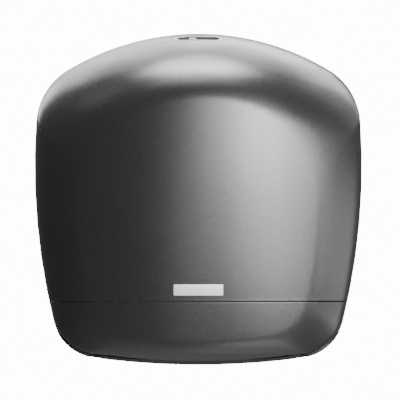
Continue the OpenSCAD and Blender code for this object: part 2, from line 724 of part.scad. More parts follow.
// ---------- lock and latch ----------
hook_d = 19;
hook_w = 3.4;
hook_hold = 3.3;                     // how far the hook stands behind the lip
front_at_top = front_depth(0, top_z);
lock_turn = asin((lock_d - top_crest) / (front_at_top - top_crest));
lock_z = top_z - top_round * (1 - cos(lock_turn));
lock_tilt = atan(top_round * tan(lock_turn) / (front_at_top - top_crest));
bezel_l = button_l + 2 * bezel_rim;
bezel_w = button_w + 2 * bezel_rim;
bezel_h = 9;
wing_l = bezel_l + 11;
wing_w = 11;
wing_t = 3.4;
bezel_screw_x = bezel_l / 2 + 2.2;
button_in = 1.8;                     // the button's face lies this far below the cover
button_lip = 0.8;
button_base = bezel_h + 3;
slide_gap = 0.2;
housing_t = 2.5;
pusher_l = button_travel;            // the pusher under the button, as long as its travel
lever_w = 5;
pin_drop = button_base + pusher_l + fit_gap + lever_w / 2;
latch_pin = in_lock(latch_arm, -pin_drop);
lever_front = in_lock(-1.5, -pin_drop);
hook_base = latch_pin[1] - 11;       // height of the hook's tip
lever_rear = [-hook_d, latch_pin[1] - 3];
cheek_t = 2.5;
cheek_gap = 0.4;
spring_room = 5;
spring_wire = 0.5;
cheek_left = latch_x - latch_w / 2 - cheek_gap - cheek_t;
cheek_right = latch_x + latch_w / 2 + spring_room;
barrel_foot = button_base + 4;
cam_t = 2;

// [y, z] of a point given in the lock's own frame
function in_lock(y, z) = [
    y * cos(lock_tilt) - z * sin(lock_tilt) - lock_d,
    y * sin(lock_tilt) + z * cos(lock_tilt) + lock_z];
// the lock's own frame: origin on the cover at the button's middle, z outwards, -y to the front
module lock_frame() {
    translate([0, -lock_d, lock_z]) rotate([lock_tilt, 0, 0]) children();
}
module bezel_screw_places() {
    for (s = [-1, 1]) translate([s * bezel_screw_x, 0, -bezel_h - housing_t]) children();
}
module lock_bezel() color("#1e1f21") lock_frame() difference() {
    union() {
        intersection() {
            translate([0, 0, -bezel_h]) linear_extrude(bezel_h + 1) oblong(bezel_l, bezel_w);
            translate([0, 50, -dome_r - 0.15]) rotate([90, 0, 0]) cylinder(h = 100, r = dome_r, $fn = 360);
        }
        translate([-wing_l / 2, -wing_w / 2, -bezel_h]) cube([wing_l, wing_w, wing_t]);
    }
    translate([0, 0, -bezel_h - 1]) linear_extrude(bezel_h + 4)
        oblong(button_l + 2 * slide_gap, button_w + 2 * slide_gap);
    bezel_screw_places() cylinder(h = housing_t + wing_t - 0.6, r = screw_r + seat_gap);
}
module lock_housing() color("#303134") lock_frame() difference() {
    union() {
        translate([-wing_l / 2, -bezel_w / 2 - 2, -bezel_h - housing_t]) cube([wing_l, bezel_w + 4, housing_t]);
        for (x = [cheek_left, cheek_right]) side_plate(x, x + cheek_t) {
            link([bezel_w / 2 - 3, -bezel_h - housing_t], [latch_arm, -pin_drop], 9);
        }
    }
    translate([0, 0, -bezel_h]) linear_extrude(20) square([200, 100], center = true);
    translate([0, 0, -bezel_h - housing_t - 9]) linear_extrude(20)
        oblong(button_l + 2 * button_lip + 2 * fit_gap, button_w + 2 * button_lip + 2 * fit_gap);
    bezel_screw_places() translate([0, 0, -1]) cylinder(h = housing_t + 2, r = screw_r + 0.1);
    translate([cheek_left - 1, latch_arm, -pin_drop]) rotate([0, 90, 0])
        cylinder(h = cheek_right - cheek_left + cheek_t + 2, r = latch_pin_r + seat_gap);
}
module housing_screws() color("#b9bcc0") lock_frame() bezel_screw_places()
    rotate([180, 0, 0]) screw(housing_t + wing_t - 1);
module latch_pin_bar(x0, x1, r) {
    lock_frame() translate([x0, latch_arm, -pin_drop]) rotate([0, 90, 0]) cylinder(h = x1 - x0, r = r);
}
module latch_pin_rod() color("#b9bcc0") {
    latch_pin_bar(cheek_left - 0.2, cheek_right + cheek_t + 1.5, latch_pin_r);
    latch_pin_bar(cheek_left - 1.6, cheek_left - 0.2 + eps, latch_pin_r + 1.5);
}
module latch_spring() color("#8f9296")
    lock_frame() translate([cheek_right - spring_wire - 0.2, latch_arm, -pin_drop]) rotate([0, -90, 0])
        coil(latch_pin_r + spring_wire + 0.4, spring_wire, (spring_room - 2 * spring_wire - 0.8) / 3, 3, 9);
module latch_lever() color("#4a4c50") side_plate(latch_x - latch_w / 2, latch_x + latch_w / 2) difference() {
    union() {
        link(latch_pin, lever_front, lever_w);
        link(latch_pin, lever_rear, lever_w);
        link(lever_rear, [-hook_d, hook_base + hook_w / 2], hook_w);
        translate(latch_pin) circle(r = latch_pin_r + 2.4);
    }
    translate(latch_pin) circle(r = latch_pin_r + run_gap);
}
module push_button() color("#3c3d40") lock_frame() difference() {
    union() {
        translate([0, 0, -button_base]) linear_extrude(button_base - button_in) oblong(button_l, button_w);
        translate([0, 0, -button_base]) linear_extrude(button_base - bezel_h - fit_gap)
            oblong(button_l + 2 * button_lip, button_w + 2 * button_lip);
        translate([latch_x - 4, -2.5, -button_base - pusher_l]) cube([8, 5, pusher_l + 1]);
    }
    translate([-barrel_left, 0, -button_base - 1]) cylinder(h = button_base + 3, r = barrel_r + run_gap);
}
module lock_barrel() color("#d0d2d5") lock_frame() translate([-barrel_left, 0, 0]) difference() {
    translate([0, 0, -barrel_foot]) cylinder(h = barrel_foot - button_in, r = barrel_r);
    translate([-0.5, -2.3, -button_in - 3]) cube([1, 4.6, 5]);
    translate([0, 0, -barrel_foot - 1]) cylinder(h = 7, r = screw_r + seat_gap);
}
module lock_cam() color("#a9adb2") lock_frame() translate([-barrel_left, 0, -barrel_foot - cam_t])
    linear_extrude(cam_t) difference() {
        union() {
            link([0, 0], [-9, 0], 5);
            circle(r = 4.4);
        }
        circle(r = screw_r + 0.1);
    }
module cam_screw() color("#b9bcc0") lock_frame() translate([-barrel_left, 0, -barrel_foot - cam_t])
    rotate([180, 0, 0]) screw(cam_t + 5);

// ---------- catch on the back plate ----------
catch_t = 2;
catch_w = 18;
catch_drop = 24;
catch_screw_drop = 13;
lip_d = hook_d + hook_w / 2 + fit_gap;
catch_z = latch_pin[1] - 14;

module catch_screw_places() {
    for (s = [-1, 1]) translate([latch_x + s * 4.8, 0, catch_z - catch_screw_drop]) children();
}
module catch_plate() color("#a9adb2") difference() {
    side_plate(latch_x - catch_w / 2, latch_x + catch_w / 2) {
        translate([-boss_d - catch_t, catch_z - catch_drop]) square([catch_t, catch_drop + catch_t]);
        translate([-lip_d - catch_t, catch_z]) square([lip_d - boss_d + catch_t, catch_t]);
        translate([-lip_d - catch_t, catch_z]) square([catch_t, hook_base - catch_z + hook_hold]);
    }
    catch_screw_places() post(0, 0, boss_d - 1, boss_d + catch_t + 1, screw_r + 0.1);
}
module catch_screws() color("#b9bcc0") catch_screw_places()
    wall_side_screw(0, 0, boss_d + catch_t, catch_t + boss_d - 1.5);

back_plate();
catch_plate();
catch_screws();
hinge_pins();
roll_axle();
axle_screws();
axle_clip();
brake_pin();
brake_spring();
brake_lever();
brake_pad();
roll_hub();
hub_bushes();
hub_cap();
stub_axle();
stub_screws();
stub_sleeve();
stub_cap();
front_cover();
lower_cover();
seam_strip();
seam_screws();
hinge_arms();
arm_screws();
tear_edges();
tear_screws();
label_plate();
lock_bezel();
lock_housing();
housing_screws();
latch_pin_rod();  // latch_pin
latch_spring();
latch_lever();
push_button();
lock_barrel();
lock_cam();
cam_screw();
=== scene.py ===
import math

import bmesh
import bpy
from mathutils import Matrix, Vector


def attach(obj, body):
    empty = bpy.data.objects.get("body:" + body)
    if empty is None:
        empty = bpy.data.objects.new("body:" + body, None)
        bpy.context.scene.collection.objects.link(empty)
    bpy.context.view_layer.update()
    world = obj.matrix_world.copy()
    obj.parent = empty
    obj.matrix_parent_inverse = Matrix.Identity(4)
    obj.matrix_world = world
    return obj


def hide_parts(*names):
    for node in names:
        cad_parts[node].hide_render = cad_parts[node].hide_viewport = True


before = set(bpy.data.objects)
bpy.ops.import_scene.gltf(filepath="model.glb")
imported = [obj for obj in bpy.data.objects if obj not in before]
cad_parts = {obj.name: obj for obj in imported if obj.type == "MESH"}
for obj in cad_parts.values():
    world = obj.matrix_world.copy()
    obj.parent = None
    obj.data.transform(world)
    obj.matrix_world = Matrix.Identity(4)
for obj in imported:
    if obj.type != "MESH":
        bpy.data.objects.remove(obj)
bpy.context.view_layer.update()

# ---------------------------------------------------------------- Studio
# The dispenser is seen straight on through a long lens, in a white studio. Soft panels stand
# to the right of the camera and hang above and behind the dispenser, with two weak ones
# below it. Little lights it from the left, so that side of the cover stays dark.
VIEW_CENTRE = Vector((0.0016, 0.0, -0.0006))
VIEW_DISTANCE = 10.0
VIEW_WIDTH = 0.3826            # what the frame shows from side to side, on the wall
VIEW_NEAR, VIEW_FAR = 0.1, 100
SENSOR_W = 36.0

camera_data = bpy.data.cameras.new("camera")
camera_data.sensor_width = SENSOR_W
camera_data.lens = SENSOR_W * VIEW_DISTANCE / VIEW_WIDTH
camera_data.clip_start = VIEW_NEAR
camera_data.clip_end = VIEW_FAR
camera = bpy.data.objects.new("camera", camera_data)
camera.location = VIEW_CENTRE - Vector((0, VIEW_DISTANCE, 0))
camera.rotation_euler = (math.radians(90), 0, 0)
bpy.context.scene.collection.objects.link(camera)
bpy.context.scene.camera = camera

PANEL_DISTANCE = 1.3
SIDE_PANEL_SIZE = (0.389, 0.458)
WIDE_PANEL_SIZE = (0.553, 0.435)
# Each panel's azimuth and elevation in degrees, as the dispenser sees it, and its power.
# An elevation past 90 is behind the dispenser.
SIDE_PANELS = [(0, -30, 0.15), (0, -12, 0.7), (12, -12, 0.65), (24, -12, 3.18),
               (36, -12, 2.67), (50, -12, 0.64), (66, -12, 1.31), (84, -12, 1.02),
               (102, -12, 0.98), (0, 6, 0.45), (12, 6, 3.26), (24, 6, 9.6),
               (36, 6, 3.9), (50, 6, 2.91), (66, 6, 0.95), (84, 6, 0.21),
               (36, 24, 0.68), (102, 24, 0.52), (-72, 42, 0.32), (102, 42, 0.6)]
WIDE_PANELS = [(32, -72, 0.38), (32, -50, 1.13), (-16, 60, 2.21), (16, 60, 1.26),
               (-48, 76, 10.3), (16, 76, 1.86), (48, 76, 10), (-48, 92, 5.6),
               (-16, 92, 0.71), (16, 92, 1.76), (-48, 108, 1.77), (48, 108, 1.26),
               (-48, 124, 1.36), (-16, 124, 2.58), (16, 124, 2.94), (48, 124, 1.63),
               (-48, 140, 3.93), (-16, 140, 5.2), (16, 140, 3.17), (48, 140, 3.2),
               (-48, 156, 1.1), (16, 156, 1.4), (48, 156, 4.16)]


def soft_panel(kind, azimuth, elevation, power, size):
    """An area lamp that faces the dispenser from one direction, hidden from the camera."""
    data = bpy.data.lights.new(f"{kind}_{azimuth}_{elevation}", "AREA")
    data.shape = "RECTANGLE"
    data.size, data.size_y = size
    data.energy = power
    lamp = bpy.data.objects.new(data.name, data)
    lamp.matrix_world = (Matrix.Rotation(math.radians(azimuth), 4, "Z")
                         @ Matrix.Rotation(math.radians(90 - elevation), 4, "X")
                         @ Matrix.Translation((0, 0, PANEL_DISTANCE)))
    lamp.visible_camera = False
    bpy.context.scene.collection.objects.link(lamp)


for panel in SIDE_PANELS:
    soft_panel("side", *panel, SIDE_PANEL_SIZE)
for panel in WIDE_PANELS:
    soft_panel("wide", *panel, WIDE_PANEL_SIZE)

# The camera sees a white ground, while the room itself gives only a weak light.
GROUND_LIGHT, ROOM_LIGHT = 14.0, 0.152
world = bpy.data.worlds.new("studio")
bpy.context.scene.world = world
world.use_nodes = True
sky = world.node_tree
sky.nodes.clear()
world_out = sky.nodes.new("ShaderNodeOutputWorld")
ground = sky.nodes.new("ShaderNodeBackground")
ground.inputs["Color"].default_value = (1, 1, 1, 1)
ground.inputs["Strength"].default_value = GROUND_LIGHT
room = sky.nodes.new("ShaderNodeBackground")
room.inputs["Color"].default_value = (1, 1, 1, 1)
room.inputs["Strength"].default_value = ROOM_LIGHT
ray = sky.nodes.new("ShaderNodeLightPath")
choice = sky.nodes.new("ShaderNodeMixShader")
sky.links.new(ray.outputs["Is Camera Ray"], choice.inputs[0])
sky.links.new(room.outputs[0], choice.inputs[1])
sky.links.new(ground.outputs[0], choice.inputs[2])
sky.links.new(choice.outputs[0], world_out.inputs["Surface"])

# The floor lies well below the dispenser. It looks pale from above, and it is clear from
# underneath, so that it hides nothing.
FLOOR_Z, FLOOR_REACH, FLOOR_GLOW = -2.6, 40, 2.2
FLOOR_COLOUR, FLOOR_ROUGHNESS = (0.8, 0.8, 0.79, 1), 0.7
floor_mesh = bmesh.new()
bmesh.ops.create_grid(floor_mesh, x_segments=1, y_segments=1, size=FLOOR_REACH,
                      matrix=Matrix.Translation((0, 0, FLOOR_Z)))
floor_data = bpy.data.meshes.new("floor")
floor_mesh.to_mesh(floor_data)
floor_mesh.free()
floor = bpy.data.objects.new("floor", floor_data)
bpy.context.scene.collection.objects.link(floor)
floor_paint = bpy.data.materials.new("floor_paint")
floor_paint.use_nodes = True
paint = floor_paint.node_tree
floor_shader = paint.nodes["Principled BSDF"]
floor_shader.inputs["Base Color"].default_value = FLOOR_COLOUR
floor_shader.inputs["Roughness"].default_value = FLOOR_ROUGHNESS
floor_shader.inputs["Emission Color"].default_value = (1, 1, 1, 1)
floor_ray = paint.nodes.new("ShaderNodeLightPath")
floor_glow = paint.nodes.new("ShaderNodeMath")
floor_glow.operation = "MULTIPLY"
floor_glow.inputs[1].default_value = FLOOR_GLOW
floor_side = paint.nodes.new("ShaderNodeNewGeometry")
floor_clear = paint.nodes.new("ShaderNodeBsdfTransparent")
floor_mix = paint.nodes.new("ShaderNodeMixShader")
paint.links.new(floor_ray.outputs["Is Camera Ray"], floor_glow.inputs[0])
paint.links.new(floor_glow.outputs[0], floor_shader.inputs["Emission Strength"])
paint.links.new(floor_side.outputs["Backfacing"], floor_mix.inputs[0])
paint.links.new(floor_shader.outputs[0], floor_mix.inputs[1])
paint.links.new(floor_clear.outputs[0], floor_mix.inputs[2])
paint.links.new(floor_mix.outputs[0], paint.nodes["Material Output"].inputs["Surface"])
floor_data.materials.append(floor_paint)

# ---------------------------------------------------------------- Covers
# Two injection mouldings in black plastic: the upper one carries the lock and the
# plate, the lower one has the paper outlet underneath. Together they make one pillow
# form: straight sides, then one soft bend all round into a gently domed front.
MM = 0.001
BODY_W, BODY_H, BODY_D = 313 * MM, 316 * MM, 132.97 * MM
TOP_Z = BODY_H / 2
WALL = 3 * MM

# The rim and the face inside it are each five tangent arcs a side, seen from the front: top,
# shoulder, side, foot and bottom. One gives way to the next at these headings, in degrees
# from straight up.
HEADINGS = [0, 31, 86, 104, 172, 180]
ARC_STEPS = [28, 26, 22, 26, 18]
SHOULDER_R, FOOT_R = 62 * MM, 46 * MM
FACE_SHOULDER_R, FACE_FOOT_R = 78 * MM, 44 * MM

# The front is domed across with FRONT_R, and above and below FULL_Z it falls back with LEAN_R.
FRONT_R, LEAN_R, FULL_Z = 300 * MM, 950 * MM, 85 * MM
# The bend from side to face, at the top, the sides and the foot: how broad it is, the depth
# at which it starts, and how far its start and the rim draw in from the full outline.
TOP_ROUND, SIDE_ROUND, FOOT_ROUND = 66 * MM, 46 * MM, 20 * MM
TOP_CREST, SIDE_CREST = 30 * MM, 62 * MM
TOP_TUCK, SIDE_IN, FOOT_IN = 2.5 * MM, 1.3 * MM, 4.8 * MM
SIDE_TURN = 1.2                # how quickly these give way to each other round the body
RIM_D = 5.5 * MM
BEND_STEPS = 30
FACE_MID_Z = -16 * MM
FACE_SHARES = [0.94, 0.87, 0.8, 0.73, 0.65, 0.58, 0.5, 0.43, 0.35, 0.28, 0.2, 0.12, 0.04]


def aim(heading):
    """The direction of a heading, in the plane of the wall."""
    return Vector((math.sin(math.radians(heading)), math.cos(math.radians(heading))))


def tangent_arcs(w, h, shoulder, foot, top):
    """Radii and centres of five tangent arcs from the top centre to the bottom centre."""
    s = [math.sin(math.radians(a)) for a in HEADINGS]
    c = [math.cos(math.radians(a)) for a in HEADINGS]
    dome_w = w / 2 - shoulder * (s[2] - s[1])
    sill_w = w / 2 - foot * (s[3] - s[4])
    dome_lean, sill_lean = (1 - c[1]) / s[1], (1 + c[4]) / s[4]
    corners = shoulder * (c[1] - c[2]) + foot * (c[3] - c[4])
    side = ((h - dome_lean * dome_w - sill_lean * sill_w - corners)
            / (c[2] - c[3] - dome_lean * (1 - s[2]) - sill_lean * (1 - s[3])))
    radii = [(dome_w - side * (1 - s[2])) / s[1], shoulder, side, foot,
             (sill_w - side * (1 - s[3])) / s[4]]
    centres = [Vector((0, top - radii[0]))]
    for i in range(1, 5):
        centres.append(centres[-1] + (radii[i - 1] - radii[i]) * aim(HEADINGS[i]))
    return radii, centres


rim_arcs = tangent_arcs(BODY_W, BODY_H, SHOULDER_R, FOOT_R, TOP_Z)
face_arcs = tangent_arcs(BODY_W - 2 * SIDE_ROUND, BODY_H - TOP_ROUND - FOOT_ROUND - FOOT_IN,
                         FACE_SHOULDER_R, FACE_FOOT_R, TOP_Z - TOP_ROUND)


def arc_point(arcs, heading, i, inset=0.0):
    """The point of arc i at a heading, some way inside the arc."""
    return arcs[1][i] + (arcs[0][i] - inset) * aim(heading)


def by_side(heading, top, side, foot):
    """A size that changes round the body, from the top over the side to the foot."""
    c = math.cos(math.radians(heading))
    return (side + (top - side) * max(0, c) ** SIDE_TURN
            + (foot - side) * max(0, -c) ** SIDE_TURN)


def front_depth(x, z):
    """How far the front stands off the wall."""
    dome = FRONT_R - math.sqrt(FRONT_R ** 2 - x * x)
    lean = (z - FULL_Z) ** 2 / (2 * LEAN_R)
    return BODY_D - dome - lean


top_fall = front_depth(0, TOP_Z - TOP_ROUND) - TOP_CREST
side_fall = front_depth(BODY_W / 2 - SIDE_ROUND, 0) - SIDE_CREST
foot_fall = FOOT_ROUND + 2 * MM
right_side = [(HEADINGS[i] + (HEADINGS[i + 1] - HEADINGS[i]) * k / ARC_STEPS[i], i)
              for i in range(5) for k in range(ARC_STEPS[i])] + [(180, 4)]
left_side = [(-h, i) for h, i in reversed(right_side[1:-1])]
stations = [(abs(h), i, 1 if h >= 0 else -1) for h, i in right_side + left_side]


def skin_point(station, t, k):
    """Ring k of the surface t inside the outer one: k below 2 on the side, then the bend."""
    h, i, sign = station
    face = arc_point(face_arcs, h, i)
    crest = front_depth(face.x, face.y) - by_side(h, top_fall, side_fall, foot_fall)
    crest_in = by_side(h, 0, SIDE_IN, FOOT_IN)
    rim_in = by_side(h, TOP_TUCK, SIDE_IN, FOOT_IN)
    if k < 2:
        inset = rim_in if k == 0 else (rim_in + 2 * crest_in) / 3
        p = arc_point(rim_arcs, h, i, inset + t)
        depth = RIM_D if k == 0 else (RIM_D + crest) / 2
    else:
        bend = math.radians(90 * (k - 2) / BEND_STEPS)
        start = arc_point(rim_arcs, h, i, crest_in + t)
        p = start + (face - start) * (1 - math.cos(bend))
        depth = crest + (front_depth(p.x, p.y) - t - crest) * math.sin(bend)
    return Vector((sign * p.x, -depth, p.y))


def face_skin_point(station, t, share):
    """The same surface inside the face: share is 1 at its edge and 0 in its middle."""
    h, i, sign = station
    p = arc_point(face_arcs, h, i)
    x, z = p.x * share, FACE_MID_Z + (p.y - FACE_MID_Z) * share
    return Vector((sign * x, t - front_depth(x, z), z))


def cover_body():
    """The closed shell of both covers: one ring of edges, extruded from ring to ring. It runs
    over the outside from the face's middle to the rim, and back along the inside."""
    bm = bmesh.new()
    tag = bm.verts.layers.int.new("station")
    side_and_bend = range(BEND_STEPS + 3)
    rings = [(face_skin_point, 0, s) for s in reversed(FACE_SHARES)]
    rings += [(skin_point, 0, k) for k in reversed(side_and_bend)]
    rings += [(skin_point, WALL, k) for k in side_and_bend]
    rings += [(face_skin_point, WALL, s) for s in FACE_SHARES]
    first = []
    for n, station in enumerate(stations):
        v = bm.verts.new(rings[0][0](station, *rings[0][1:]))
        v[tag] = n
        first.append(v)
    loop = [bm.edges.new((first[n - 1], first[n])) for n in range(len(first))]
    start = list(loop)
    for place, t, k in rings[1:]:
        made = bmesh.ops.extrude_edge_only(bm, edges=loop)["geom"]
        for v in (g for g in made if isinstance(g, bmesh.types.BMVert)):
            v.co = place(stations[v[tag]], t, k)
        loop = [g for g in made if isinstance(g, bmesh.types.BMEdge)
                and all(v in made for v in g.verts)]
    for ring, t in ((start, 0), (loop, WALL)):
        made = bmesh.ops.extrude_edge_only(bm, edges=ring)["geom"]
        tips = [g for g in made if isinstance(g, bmesh.types.BMVert)]
        middle = (0, t - front_depth(0, FACE_MID_Z), FACE_MID_Z)
        bmesh.ops.pointmerge(bm, verts=tips, merge_co=middle)
    bmesh.ops.recalc_face_normals(bm, faces=bm.faces)
    return bm


# The open line. Its two edges are eased, and the upper one flares a little: millimetres from
# the line, and how many the skin draws in there.
SEAM_Z, SEAM_GAP = -97 * MM, 0.6 * MM
SEAM_EASE = {1: ((0, 0.3), (0.12, 0.12), (0.3, 0), (0.6, -0.05), (1.2, -0.05),
                 (2.0, -0.03), (2.8, -0.01), (3.6, 0)),
             -1: ((0, 0.35), (0.12, 0.17), (0.3, 0.05), (0.6, 0), (0.9, 0), (1.5, 0))}
CUT_SNAP, SAME_HEIGHT = 1e-7, 1e-6     # how near counts as on a cut, and as on its height


def whole(bm):
    """Everything in the form, for a cut that goes right through it."""
    return bm.verts[:] + bm.edges[:] + bm.faces[:]


def outer_skin(v):
    """Whether a vertex is on the outside of the cover, in front of its rim."""
    outward = v.normal.x * v.co.x + v.normal.y * (v.co.y + BODY_D / 2)
    return v.co.y < -RIM_D - 0.01 * MM and outward > 0


def link_piece(name, bm):
    """Makes the form an object of the scene."""
    mesh = bpy.data.meshes.new(name)
    bm.to_mesh(mesh)
    bm.free()
    piece = bpy.data.objects.new(name, mesh)
    bpy.context.scene.collection.objects.link(piece)
    return piece


def half_cover(name, side):
    """The cover above (1) or below (-1) the open line, cut from the shell, its edge eased."""
    bm = cover_body()
    edge = SEAM_Z + side * SEAM_GAP / 2
    ease = SEAM_EASE[side]
    for away, _ in ease[1:]:
        bmesh.ops.bisect_plane(bm, geom=whole(bm), dist=CUT_SNAP,
                               plane_co=(0, 0, edge + side * away * MM), plane_no=(0, 0, side))
    cut = bmesh.ops.bisect_plane(bm, geom=whole(bm), dist=CUT_SNAP, plane_co=(0, 0, edge),
                                 plane_no=(0, 0, side), clear_inner=True)
    rim = [g for g in cut["geom_cut"] if isinstance(g, bmesh.types.BMEdge)]
    bm.normal_update()
    moves = []
    for away, inward in ease:
        z = edge + side * away * MM
        moves += [(v, inward * MM * v.normal) for v in bm.verts
                  if abs(v.co.z - z) < SAME_HEIGHT and outer_skin(v)]
    for v, move in moves:
        v.co -= Vector((move.x, move.y, 0))
    bmesh.ops.holes_fill(bm, edges=rim, sides=0)
    bmesh.ops.recalc_face_normals(bm, faces=bm.faces)
    return link_piece(name, bm)


def finish_mesh(piece, angle=35):
    """Keeps what the piece's modifiers make, then shades it smooth between its sharp edges."""
    shape = piece.evaluated_get(bpy.context.evaluated_depsgraph_get())
    mesh = bpy.data.meshes.new_from_object(shape)
    piece.modifiers.clear()
    piece.data = mesh
    mesh.name = piece.name
    mesh.polygons.foreach_set("use_smooth", [True] * len(mesh.polygons))
    mesh.set_sharp_from_angle(angle=math.radians(angle))
    return piece


def cut_out(piece, bm, operation="DIFFERENCE"):
    """Cuts the form out of the piece, or joins or intersects the two."""
    cutter = link_piece("cutter", bm)
    cut = piece.modifiers.new("cut", "BOOLEAN")
    cut.object = cutter
    cut.operation = operation
    cut.solver = "EXACT"
    finish_mesh(piece)
    bpy.data.objects.remove(cutter)


def box_form(low, high):
    """A block between its lowest and highest corners."""
    bm = bmesh.new()
    middle, size = (Vector(low) + Vector(high)) / 2, Vector(high) - Vector(low)
    bmesh.ops.create_cube(bm, size=1,
                          matrix=Matrix.Translation(middle) @ Matrix.Diagonal((*size, 1)))
    return bm


def oblong_form(length, width, z0, z1, end_steps=20):
    """A bar with round ends, its length along x and its axis along z."""
    bm = box_form((-length / 2, -width / 2, z0), (length / 2, width / 2, z1))
    upright = [e for e in bm.edges if abs(e.verts[0].co.z - e.verts[1].co.z) > 1e-9]
    bmesh.ops.bevel(bm, geom=upright, offset=width / 2 - 1e-6, segments=end_steps,
                    profile=0.5, affect="EDGES", material=-1)
    return bm


front_cover = half_cover("front_cover_shell", 1)
lower_cover = half_cover("lower_cover_shell", -1)

# The lock's axis leans back with the top of the upper cover, which is open round the bezel.
LOCK_D, LOCK_Z, LOCK_TILT = 66 * MM, 153.593 * MM, math.radians(14.2308)
lock_place = (Matrix.Translation((0, -LOCK_D, LOCK_Z))
              @ Matrix.Rotation(LOCK_TILT, 4, "X"))
BEZEL_L, BEZEL_W, BEZEL_ROOM = 47.4 * MM, 20.9 * MM, 0.5 * MM
LOCK_CUT = 15 * MM
lock_hole = oblong_form(BEZEL_L + BEZEL_ROOM, BEZEL_W + BEZEL_ROOM, -LOCK_CUT, LOCK_CUT)
lock_hole.transform(lock_place)
cut_out(front_cover, lock_hole)

# The lower cover is open for the paper, and for the sweep of the trough that holds the hinge.
OUTLET_W, OUTLET_FRONT, OUTLET_TOP = 170 * MM, 84 * MM, -140 * MM
HINGE_D, HINGE_Z, HINGE_CUT_R = 17 * MM, -142 * MM, 16.4 * MM
CUT_REACH, CUT_BACK = 200 * MM, 10 * MM
cut_out(lower_cover, box_form((-OUTLET_W / 2, -OUTLET_FRONT, -CUT_REACH),
                              (OUTLET_W / 2, CUT_BACK, OUTLET_TOP)))
cut_out(lower_cover, box_form((-CUT_REACH, -HINGE_D - HINGE_CUT_R, -CUT_REACH),
                              (CUT_REACH, CUT_BACK, HINGE_Z)))
hinge_sweep = bmesh.new()
bmesh.ops.create_cone(hinge_sweep, cap_ends=True, segments=96, radius1=HINGE_CUT_R,
                      radius2=HINGE_CUT_R, depth=2 * CUT_REACH,
                      matrix=(Matrix.Translation((0, -HINGE_D, HINGE_Z))
                              @ Matrix.Rotation(math.pi / 2, 4, "Y")))
cut_out(lower_cover, hinge_sweep)


def node_group(name, inputs, outputs):
    """A shader group with its sockets. Values are sizes in metres or plain shares."""
    group = bpy.data.node_groups.new(name, "ShaderNodeTree")
    for label, value in inputs.items():
        kind = "NodeSocketFloat" if isinstance(value, float) else "NodeSocketColor"
        group.interface.new_socket(label, in_out="INPUT", socket_type=kind).default_value = value
    for label in outputs:
        kind = "NodeSocketColor" if label == "Colour" else "NodeSocketFloat"
        group.interface.new_socket(label, in_out="OUTPUT", socket_type=kind)
    return (group, group.nodes.new("NodeGroupInput").outputs,
            group.nodes.new("NodeGroupOutput").inputs)


def add(tree, kind, **values):
    """A new node. in_Name or in_2 gives an input its value, or links it where the value is
    a socket; every other word is a setting of the node."""
    node = tree.nodes.new(kind)
    for key, value in values.items():
        if key.startswith("in_"):
            name = key[3:].replace("_", " ")
            socket = node.inputs[int(name)] if name.isdigit() else node.inputs[name]
            if isinstance(value, bpy.types.NodeSocket):
                tree.links.new(value, socket)
            else:
                socket.default_value = value
        else:
            setattr(node, key, value)
    return node


def noise(tree, where, scale, detail, roughness):
    """Cloudy noise, its scale in clouds to the metre."""
    return add(tree, "ShaderNodeTexNoise", in_Vector=where, in_Scale=scale, in_Detail=detail,
               in_Roughness=roughness).outputs[0]


def spread(tree, value, low, high, least, most):
    """Maps the noise from low to high onto least to most."""
    return add(tree, "ShaderNodeMapRange", in_Value=value, in_1=low, in_2=high, in_3=least,
               in_4=most).outputs[0]


def combine(tree, operation, *values):
    """The result of a sum on values or sockets."""
    inputs = {f"in_{n}": value for n, value in enumerate(values)}
    return add(tree, "ShaderNodeMath", operation=operation, **inputs).outputs[0]


def mix_colours(tree, share, first, second):
    """The first colour where share is 0, the second where it is 1."""
    return add(tree, "ShaderNodeMix", data_type="RGBA", in_Factor=share, in_6=first,
               in_7=second).outputs[2]


def grain_group():
    """Moulded plastic: a fine spark-eroded grain over a small ripple, roughness that wanders
    a little, gloss in tiny specks, and some dust."""
    CLOUDS, SPECKS, RIPPLES = 24.0, 700.0, 950.0
    RIPPLE_WEIGHT = 4.5
    WANDER, FINE, GLOSS = 0.012, 0.01, 0.6
    g, given, out = node_group(
        "moulded_grain",
        {"Colour": (0.03, 0.03, 0.03, 1), "Dust Colour": (0.2, 0.2, 0.2, 1),
         "Grain Size": 0.4 * MM, "Roughness": 0.35, "Dust": 0.04},
        ["Colour", "Roughness", "Height", "Gloss"])
    where = add(g, "ShaderNodeTexCoord").outputs["Object"]
    grain = noise(g, where, combine(g, "DIVIDE", 1.0, given["Grain Size"]), 2.0, 0.6)
    cloud = noise(g, where, CLOUDS, 4.0, 0.55)
    speck = noise(g, where, SPECKS, 3.0, 0.7)
    ripple = noise(g, where, RIPPLES, 1.0, 0.5)
    wander = spread(g, cloud, 0.3, 0.7, -WANDER, WANDER)
    fine = spread(g, grain, 0.3, 0.7, -FINE, FINE)
    rough = combine(g, "ADD", combine(g, "ADD", given["Roughness"], wander), fine)
    dust = combine(g, "MULTIPLY", spread(g, speck, 0.56, 0.78, 0.0, 1.0), given["Dust"])
    g.links.new(mix_colours(g, dust, given["Colour"], given["Dust Colour"]), out["Colour"])
    g.links.new(rough, out["Roughness"])
    g.links.new(combine(g, "MULTIPLY_ADD", ripple, RIPPLE_WEIGHT, grain), out["Height"])
    g.links.new(spread(g, speck, 0.42, 0.72, 0.0, GLOSS), out["Gloss"])
    return g


moulded_grain = grain_group()


